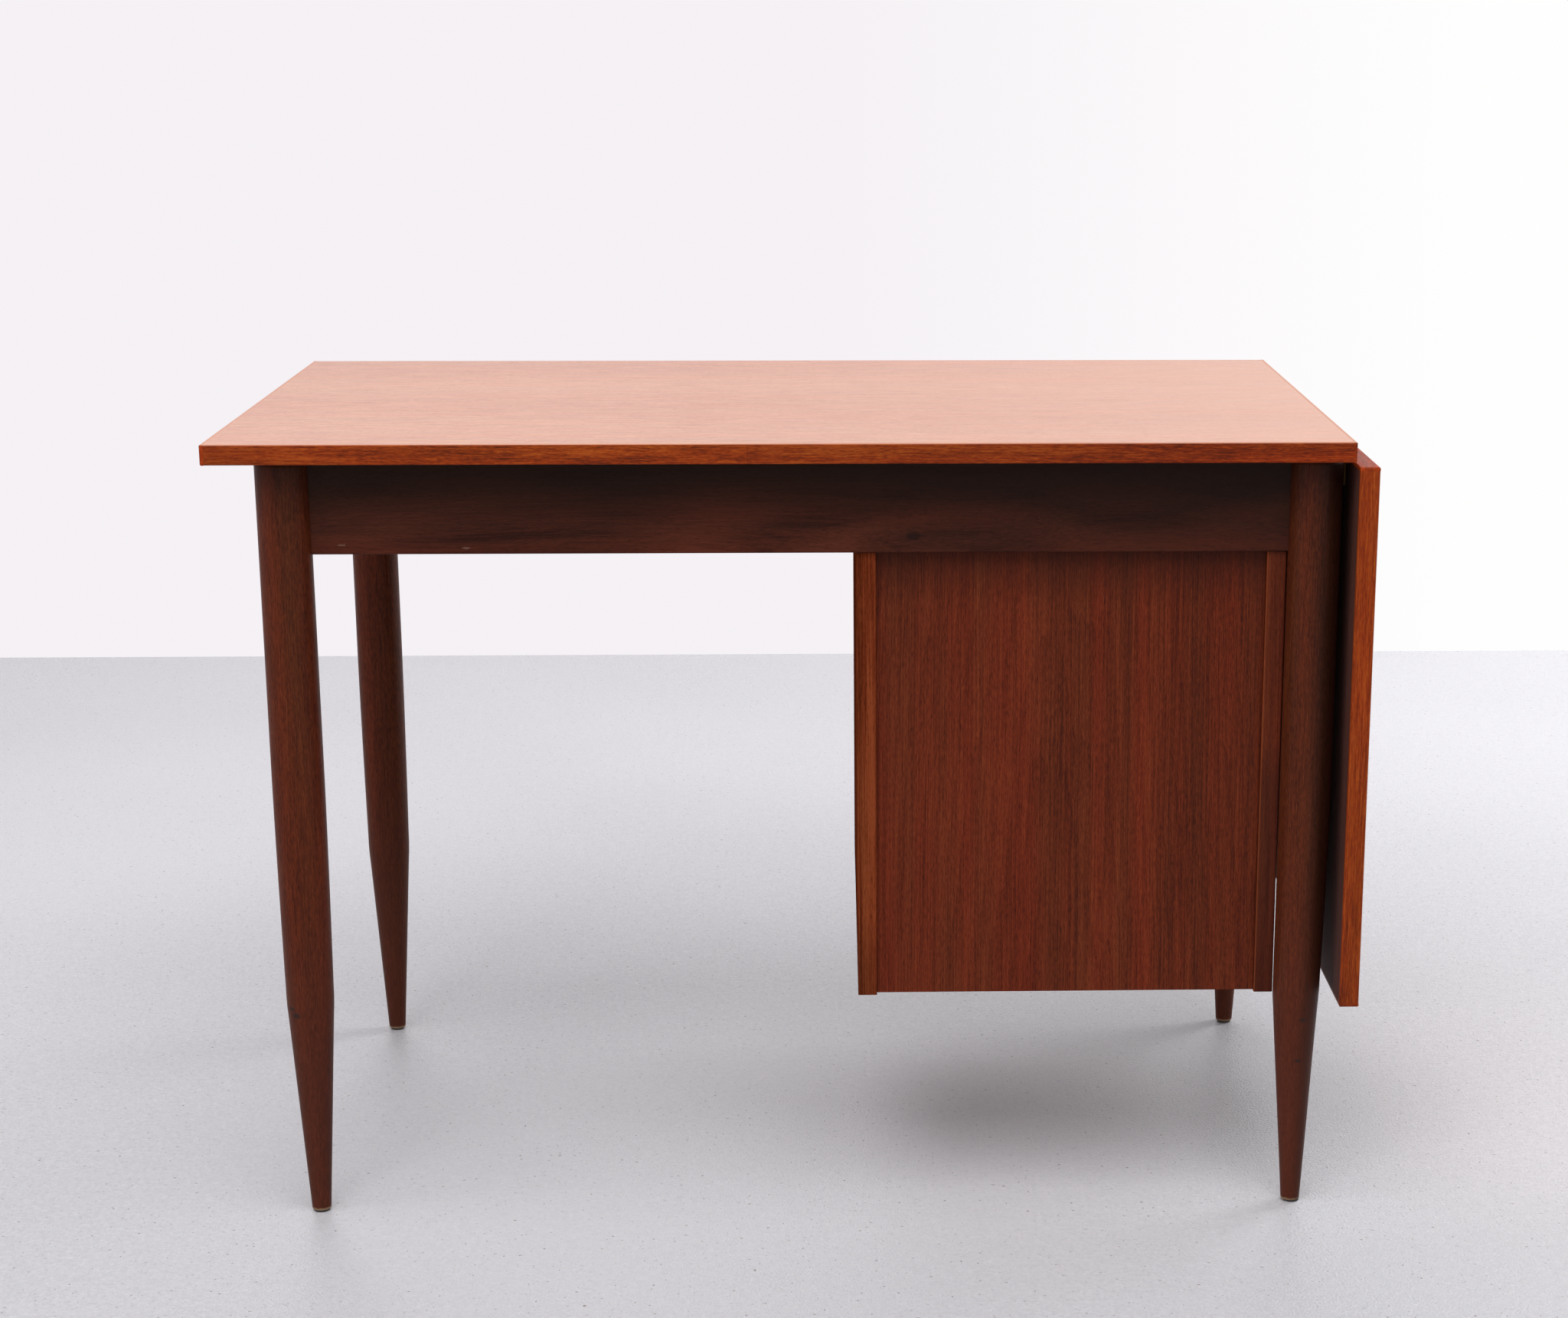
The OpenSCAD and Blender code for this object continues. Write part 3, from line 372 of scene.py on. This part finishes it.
def spot(node, *shares):
    """A place in a node's box, as shares of the way along X, Y and Z."""
    low, high = (np.array(corner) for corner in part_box(node))
    return tuple(float(c) for c in low + (high - low) * shares)


def frayed(f):
    """A fine noise that frays the outline of a mark."""
    return f.noise(f.place, 420.0, 4.0, 0.7)


def marked(f, base, marks, tone, share=0.8):
    """Colours small ragged marks. Each has a place and how far it reaches along X, Y and Z. A mark
    fades where the distance, as a share of that reach and with a noise added, comes to 1.25 to 1.75."""
    ragged = frayed(f)
    for place, (wide, deep, high) in marks:
        away = f.add("VectorMath", {0: f.place, 1: place}, operation="SUBTRACT")
        away = f.scaled(away, (1 / wide, 1 / deep, 1 / high))
        away = f.add("VectorMath", {0: away}, "Value", operation="LENGTH")
        away = f.sum("ADD", away, f.sum("MULTIPLY", ragged, 1.5))
        base = f.mix(f.span(away, 1.75, 1.25, 0.0, share, smooth=True), base, tone)
    return base


def leg_wear_and_painted_shade(marks, shade_from, shade):
    """Wears the wood pale in a thin ring at the foot, paints shade under the top, dulls the tapered
    end and darkens the dents. Beyond shade_from, against X, the side towards the leaf gets painted
    shade by the share shade."""
    def wear_and_painted_shade(f, base):
        height = f.sum("ADD", coordinate(f, "Z"), f.sum("MULTIPLY", frayed(f), 0.003))
        base = f.mix(f.span(height, 0.0068, 0.0050, 0.0, 0.85, smooth=True), base, srgb(184, 156, 120))
        # painted shade under the top
        base = f.mix(zone(f, "Z", 0.64, 0.71, 0.55), base, srgb(34, 16, 10))
        # painted shade on the side towards the leaf
        base = f.mix(zone(f, "X", shade_from, shade_from - 0.028, shade), base, srgb(20, 11, 9))
        base = f.mix(zone(f, "Z", 0.34, 0.1, 0.45), base, srgb(76, 42, 33))
        return marked(f, base, marks, SCUFF)
    return wear_and_painted_shade


def dress(finish, *names):
    """Gives CAD nodes their finish, in every material slot."""
    for name in names:
        for slot in nodes[name].material_slots:
            slot.material = finish


BOARD = dict(bands=0.5, streaks=0.9, fibres=2.0, flecks=1.5, dashes=1.5, short=2.0, rings=0.22,
             drift=0.25, pores=0.3, shine=0.33)
dress(wood("top_veneer", "x", TOP, 1.0, ring_at=(0.10, 0.05, 0.02), specular=0.6, coat=0.28,
           extra=knots_and_painted_sheen, **BOARD), "top_panel")
dress(wood("leaf_veneer", "z", LEAF, 5.0, ring_at=(0.04, 0.06, 0.03), specular=0.5, coat=0.25,
           extra=dark_underside, dull=leaf_inside, **BOARD), "leaf_panel")
LIPPING = dict(bands=0.9, streaks=1.0, fibres=1.4, flecks=1.1, short=3.0, drift=1.0, pores=0.4,
               specular=0.13)
ON_TOP = dict(extra=bleached, coat=0.28, coated=top_face, **LIPPING)
ON_LEAF = dict(extra=bleached_outside, coat=0.25, coated=leaf_face, **LIPPING)
UPRIGHT = {**ON_LEAF, "streaks": 0.5, "flecks": 0.6, "pores": 0.3}
dress(wood("lipping_x", "x", LIP, 2.0, **ON_TOP), "top_lipping_front")
dress(wood("lipping_x_jointed", "x", LIP, 2.5, **{**ON_TOP, "extra": jointed}), "top_lipping_back")
dress(wood("lipping_y", "y", LIP, 3.0, **ON_TOP), "top_lipping_left", "top_lipping_right")
dress(wood("leaf_lipping_y", "y", LIP, 3.0, **ON_LEAF), "leaf_lipping_hinge", "leaf_lipping_free")
dress(wood("lipping_z", "z", tinted(LIP, 0.92), 4.0, **UPRIGHT),
      "leaf_lipping_front", "leaf_lipping_back")
SLANTING = dict(bands=0.9, streaks=0.45, fibres=0.8, flecks=0.4, flow=0.12, rings=0.55,
                ring_at=(0.585, 0.09, 0.16), ring_rate=60, ring_edge=0, ragged=1.3)
# the aprons get painted shade under the top
dress(wood("apron_x", "x", APRON, 11.0, extra=painted_shade_under_top, **SLANTING), "apron_front")
dress(wood("apron_x_marked", "x", APRON, 11.5, extra=knot_scuffs_and_painted_shade, **SLANTING), "apron_back")
dress(wood("apron_y", "y", APRON, 12.0, extra=painted_shade_under_top, **SLANTING), "apron_left", "apron_right")
# this side panel is a darker copy of the case's tone: painted shade
dress(wood("case_left_painted_shade", "z", tinted(CASE, 0.66), 13.0, extra=painted_edge_highlight),
      "pedestal_left_side")
# this side panel's brighter tone is partly painted light
dress(wood("case_right_veneer", "z", POST, 13.5, streaks=1.4, fibres=1.6, specular=0.0,
           extra=dark_end), "pedestal_right_side")
dress(wood("case_edge_teak", "x", tinted(POST, 0.85), 14.0, bands=0.7, fibres=1.6),
      "pedestal_bottom", "pedestal_top")
dress(wood("case_back_veneer", "z", tinted(CASE, 0.97), 15.0, bands=0.9, streaks=0.7, fibres=1.1,
           flecks=0.9, short=0.6, rings=0.2, ring_at=(-0.235, 0.075, 0.07), ring_rate=120,
           ring_edge=2.5, drift=0.8, pores=0.4, extra=painted_shade_under_apron), "pedestal_back")
for i, name in enumerate(("top_drawer", "middle_drawer", "bottom_drawer")):
    dress(wood(name + "_front_veneer", "x", CASE, 16.0 + i, rings=0.45,
               ring_at=(0.3 + 0.13 * i, 0.06, 0.12), ring_rate=140, ring_edge=3.0), name + "_front")
    dress(wood(name + "_pull_teak", "x", tinted(LEG, 0.85), 20.0 + i, fibres=1.3, flecks=1.1, short=2.0,
               shine=0.52, specular=0.05), name + "_pull")
BARE = dict(bands=1.0, streaks=1.0, fibres=0.8, shine=0.5)
dress(wood("drawer_side_beech", "y", BEECH, 24.0, pores=0.12, **BARE),
      *[n for n in nodes if n.endswith("drawer_left_side") or n.endswith("drawer_right_side")])
dress(wood("drawer_rear_beech", "x", BEECH, 25.0, pores=0.12, **BARE),
      *[n for n in nodes if n.endswith("drawer_rear")], "hanging_rails")
dress(wood("drawer_runner_beech", "y", BEECH, 26.0, pores=0.12, **BARE),
      "drawer_runners", "drawer_stops", "corner_blocks")
dress(wood("drawer_bottom_ply", "x", PLY, 27.0, pores=0.2, **BARE),
      *[n for n in nodes if n.endswith("drawer_bottom")])


# ---------------------------------------------------------------- turned legs


def mesh_piece(name, points, faces, finish, body, stands_for):
    """A smooth piece from arrays of points and faces, riding on a body in place of a CAD node."""
    mesh = bpy.data.meshes.new(name)
    mesh.from_pydata(points.tolist(), [], faces)
    mesh.polygons.foreach_set("use_smooth", np.ones(len(mesh.polygons), bool))
    mesh.materials.append(finish)
    piece = bpy.data.objects.new(name, mesh)
    scene.collection.objects.link(piece)
    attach(piece, body)
    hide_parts(stands_for)


def grid_faces(rows, columns):
    """Quads between neighbouring rows of a grid, joined round its columns."""
    r, c = np.meshgrid(np.arange(rows - 1), np.arange(columns), indexing="ij")
    a, b = r * columns + c, r * columns + (c + 1) % columns
    return np.stack([a, b, b + columns, a + columns], -1).reshape(-1, 4).tolist()


LEG_LOW, LEG_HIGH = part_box("leg_back_right")
LEG_R, GLIDE_T, LEG_TOP = (LEG_HIGH[0] - LEG_LOW[0]) / 2, LEG_LOW[2], LEG_HIGH[2]
KNEE_R, FOOT_R = 0.0215, 0.00875
KNEE_Z, SLIM_Z = 0.208, 0.42
KNEE_SOFT, FOOT_EDGE = 0.0003, 0.0012   # softness of the knee, rounding of the foot's edge
LEAN, LEAN_UNDONE = 1.15, 0.55          # of the leg by the leaf, as turned_leg uses them
SHADE_FROM, SHADE = 0.012, 0.75         # where the painted shade on the leg by the leaf starts, and its share
ROUND, ROUND_EDGE = 96, 7               # points round a leg, and up the rounding of its foot


def leg_radius(z):
    """Full above SLIM_Z, slims with the 1.5th power down to the knee, then tapers straight to the
    foot; the smaller of the two curves, softened where they cross and at the foot's edge."""
    upper = LEG_R - (LEG_R - KNEE_R) * (np.maximum(0, SLIM_Z - z) / (SLIM_Z - KNEE_Z)) ** 1.5
    lower = FOOT_R + (KNEE_R - FOOT_R) * (z - GLIDE_T) / (KNEE_Z - GLIDE_T)
    both = (upper + lower) / 2 - np.sqrt(((upper - lower) / 2) ** 2 + KNEE_SOFT ** 2)
    mended = both + KNEE_SOFT ** 2 / np.maximum(KNEE_SOFT, np.abs(upper - lower))
    lift = np.clip((z - GLIDE_T) / FOOT_EDGE, 0, 1)
    return np.where(z >= SLIM_Z, LEG_R, mended) - FOOT_EDGE * (1 - np.sqrt(1 - (1 - lift) ** 2))


def eased_step(share):
    """0 below 0, 1 above 1 and a smooth cubic between."""
    share = np.clip(share, 0, 1)
    return share * share * (3 - 2 * share)


def turned_leg(node, dents, lean, finish):
    """A surface turned round the leg's axis: radius by height, times a round-trip angle. Each dent
    takes away a small round bell: depth times exp(-distance squared over width squared). With a
    lean the axis moves along X by that share of what the leg has slimmed, which keeps the side by
    the pedestal straight, and a good half of it is undone towards the foot."""
    lo, hi = (np.array(c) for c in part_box(node))
    x, y = (lo[:2] + hi[:2]) / 2
    z = np.concatenate([GLIDE_T + FOOT_EDGE * (1 - np.cos(np.linspace(0, np.pi / 2, ROUND_EDGE))),
                        np.linspace(0.006, 0.23, 80), np.linspace(0.235, LEG_TOP, 70)])
    turn = np.linspace(0, 2 * np.pi, ROUND, endpoint=False)
    zz, tt = np.meshgrid(z, turn, indexing="ij")
    radius = leg_radius(zz)
    for height, angle, depth, width in dents:
        side = (np.mod(tt - angle + np.pi, 2 * np.pi) - np.pi) * radius
        radius = radius - depth * np.exp(-(side ** 2 + (zz - height) ** 2) / width ** 2)
    slimmed = LEG_R - leg_radius(np.maximum(zz, KNEE_Z))
    x = x + lean * slimmed * (1 - LEAN_UNDONE * eased_step((KNEE_Z - zz) / KNEE_Z))
    points = np.stack([x + radius * np.cos(tt), y + radius * np.sin(tt), zz], -1).reshape(-1, 3)
    faces = grid_faces(len(z), len(turn))
    last = (len(z) - 1) * len(turn)
    faces += [list(range(len(turn)))[::-1], list(range(last, last + len(turn)))]
    mesh_piece(node + "_turned", points, faces, finish, "frame", node)


# each dent: height, angle round the leg, depth, width
LEG_DENTS = {
    "leg_back_left": [(0.187, 1.71, 0.0005, 0.0030), (0.146, 1.51, 0.0005, 0.0026),
                      (0.31, 2.3, 0.0004, 0.003)],
    "leg_back_right": [(0.199, 1.04, 0.0006, 0.0040), (0.205, 0.80, 0.0004, 0.0030),
                       (0.09, 2.2, 0.0003, 0.002)],
    "leg_front_left": [(0.17, 4.2, 0.0006, 0.002), (0.26, 5.3, 0.0004, 0.003)],
    "leg_front_right": [(0.12, 4.9, 0.0006, 0.002), (0.33, 3.6, 0.0004, 0.0025)],
}
for number, (node_name, dents) in enumerate(LEG_DENTS.items()):
    low, high = (np.array(corner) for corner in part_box(node_name))
    x, y, _ = (low + high) / 2
    # the first two dents of each leg are scuffed dark
    marks = [((x + leg_radius(h) * math.cos(a), y + leg_radius(h) * math.sin(a), h),
              (width * 1.6, width * 1.6, width * 0.9)) for h, a, _, width in dents[:2]]
    by_the_leaf = node_name == "leg_back_left"
    # the front legs get a darker copy of the leg tone: painted shade
    finish = wood(node_name + "_teak", "z", tinted(LEG, 0.9 if "back" in node_name else 0.8),
                  6.0 + number, bands=1.0, streaks=0.5, fibres=1.0, flecks=1.1, short=2.0, drift=0.8,
                  pores=0.4, extra=leg_wear_and_painted_shade(marks, x + SHADE_FROM, SHADE if by_the_leaf else 0.0))
    turned_leg(node_name, dents, LEAN if by_the_leaf else 0.0, finish)

# ---------------------------------------------------------------- metal and glides


def metal(name, colour, rough, scale):
    """Metal with fine brush lines and a little dulling."""
    f = Finish(name)
    lines = f.noise(f.scaled(f.place, (scale, scale * 0.06, scale)), 1.0, 3.0)
    dull = f.noise(f.place, 45.0, 3.0)
    dulled = (colour[0] * 0.62, colour[1] * 0.56, colour[2] * 0.5, 1)
    tone = f.mix(f.span(dull, 0.35, 0.75, 0.0, 0.35), colour, dulled)
    rough = f.span(lines, 0.2, 0.8, rough - 0.06, rough + 0.12)
    return f.done(tone, rough, lines, 0.00005, 0.25, Metallic=1.0)


dress(metal("brass_lacquered", srgb(88, 66, 39), 0.5, 900.0), "hinge_plates_top",
      "hinge_plates_leaf", "hinge_pins", "hinge_screws_top", "hinge_screws_leaf",
      "stay_brackets_apron", "stay_brackets_leaf", "stay_long_arm_front", "stay_long_arm_back",
      "stay_short_arm_front", "stay_short_arm_back")
dress(metal("steel_zinc", srgb(188, 188, 192), 0.34, 700.0), "top_screws", "pedestal_bolts")


def plastic():
    """Black glide, faintly pitted and scuffed."""
    f = Finish("glide_black")
    pits = f.noise(f.place, 900.0, 3.0)
    tone = f.ramp(f.noise(f.place, 220.0, 4.0), [(0.3, srgb(20, 19, 19)), (0.8, srgb(44, 42, 41))])
    return f.done(tone, f.span(pits, 0.3, 0.7, 0.42, 0.62), pits, 0.00005, 0.3)


dress(plastic(), "foot_glides")

# ---------------------------------------------------------------- floor, world and lights

# along Y the floor starts behind the camera and ends where the white behind the desk begins
FLOOR_START, FLOOR_END, FLOOR_SIDE = 3.6, -2.174, 4.0
PAINTED_LIGHT_TONE = srgb(238, 237, 242)
# painted pools of light and patches of painted shade on the floor: middle, reach, share, tone
PAINTED_LIGHT_AND_SHADE = [((0.13, 0.22, 0.0), 0.62, 0.42, PAINTED_LIGHT_TONE), ((0.95, -1.1, 0.0), 0.7, 0.4, PAINTED_LIGHT_TONE),
          ((-0.62, 0.5, 0.0), 0.4, 0.4, srgb(190, 190, 195)),
          ((-0.4, -0.05, 0.0), 0.35, 0.4, srgb(180, 180, 185))]
WORLD_LIGHT = 0.33          # strength of the world where it only gives light


def make_floor():
    """One flat pale floor, mottled, with dirt and chips. Painted light makes it paler towards the
    far end, and painted pools of light and patches of shade lie on it.
    """
    mesh = bpy.data.meshes.new("floor")
    mesh.from_pydata([(-FLOOR_SIDE, FLOOR_END, 0), (FLOOR_SIDE, FLOOR_END, 0),
                      (FLOOR_SIDE, FLOOR_START, 0), (-FLOOR_SIDE, FLOOR_START, 0)], [], [(0, 1, 2, 3)])
    floor = bpy.data.objects.new("floor", mesh)
    scene.collection.objects.link(floor)
    f = Finish("floor_paint")
    speck = f.noise(f.place, 70.0, 5.0, 0.7)
    fine = f.noise(f.place, 200.0, 5.0, 0.85)
    cloud = f.noise(f.place, 1.3, 2.0)
    value = f.sum("ADD", f.sum("MULTIPLY", speck, 0.25), f.sum("MULTIPLY", cloud, 0.25))
    value = f.sum("ADD", value, f.sum("MULTIPLY", fine, 0.9))
    tone = f.ramp(value, [(0.46, srgb(190, 190, 195)), (0.7, srgb(213, 212, 217)),
                          (0.94, srgb(231, 230, 234))])
    # painted light: paler towards the far end
    tone = f.mix(zone(f, "Y", -0.5, -1.7, 0.45), tone, PAINTED_LIGHT_TONE)
    # painted pools of light and patches of painted shade
    for place, reach, share, paint in PAINTED_LIGHT_AND_SHADE:
        away = f.add("VectorMath", {0: f.place, 1: place}, "Value", operation="DISTANCE")
        tone = f.mix(f.span(away, reach, reach * 0.3, 0.0, share, smooth=True), tone, paint)
    dirt = f.span(f.noise(f.place, 210.0, 3.0, 0.6), 0.665, 0.69, 0.0, 0.8, smooth=True)
    tone = f.mix(dirt, tone, srgb(120, 98, 90))
    chips = f.noise(f.scaled(f.place, (1, 1, 1), (3.1, 1.7, 0)), 190.0, 2.0, 0.6)
    tone = f.mix(f.span(chips, 0.26, 0.245, 0.0, 0.9), tone, srgb(244, 240, 238))
    peel = f.noise(f.place, 420.0, 3.0)
    mesh.materials.append(f.done(tone, 0.29, peel, 0.0018, 0.8, Specular_IOR_Level=0.4))


def make_world():
    """White where the camera and mirror-like surfaces see it, a trace greyer towards X, and a plain
    soft level as light."""
    world = bpy.data.worlds.new("studio")
    world.use_nodes = True
    tree = world.node_tree
    ray = new_node(tree, "LightPath", {})
    seen = {0: ray["Is Glossy Ray"], 1: ray["Is Transmission Ray"]}
    seen = {0: ray["Is Camera Ray"], 1: new_node(tree, "Math", seen, operation="MAXIMUM")[0]}
    seen = new_node(tree, "Math", seen, operation="MAXIMUM")[0]
    level = new_node(tree, "MapRange", {"Value": seen, "To Min": WORLD_LIGHT, "To Max": 1.0})[0]
    toward = new_node(tree, "SeparateXYZ", {0: new_node(tree, "TexCoord", {})["Generated"]})["X"]
    whiter = new_node(tree, "MapRange", {"Value": toward, "From Min": 0.0, "From Max": -0.2})[0]
    tone = {0: whiter, 6: srgb(245, 241, 245), 7: srgb(255, 254, 254)}
    tone = new_node(tree, "Mix", tone, data_type="RGBA")[2]
    back = tree.nodes["Background"]
    tree.links.new(tone, back.inputs["Color"])
    tree.links.new(level, back.inputs["Strength"])
    scene.world = world


def lamp(name, at, aim, size, power):
    """A square white lamp at a place, aimed at another; its side in metres, its power in watts."""
    data = bpy.data.lights.new(name, "AREA")
    data.size, data.energy = size, power
    light = bpy.data.objects.new(name, data)
    light.location = at
    light.rotation_mode = "QUATERNION"
    light.rotation_quaternion = (Vector(aim) - Vector(at)).to_track_quat("-Z", "Y")
    scene.collection.objects.link(light)


make_floor()
make_world()
lamp("key", (-0.1, 2.0, 4.2), (-0.2, 0.1, 0), 3.8, 128)
lamp("front", (0.5, 3.0, 2.6), (0.1, 0.9, 0.0), 2.4, 16)
lamp("drawer_side", (0.9, -3.3, 3.9), (0.1, -0.4, 0.3), 2.0, 30)
lamp("side", (3.4, 1.6, 1.5), (0, 0, 0.4), 1.6, 16)
lamp("far", (-3.0, -1.7, 2.2), (-2.2, -1.9, 0), 2.0, 72)
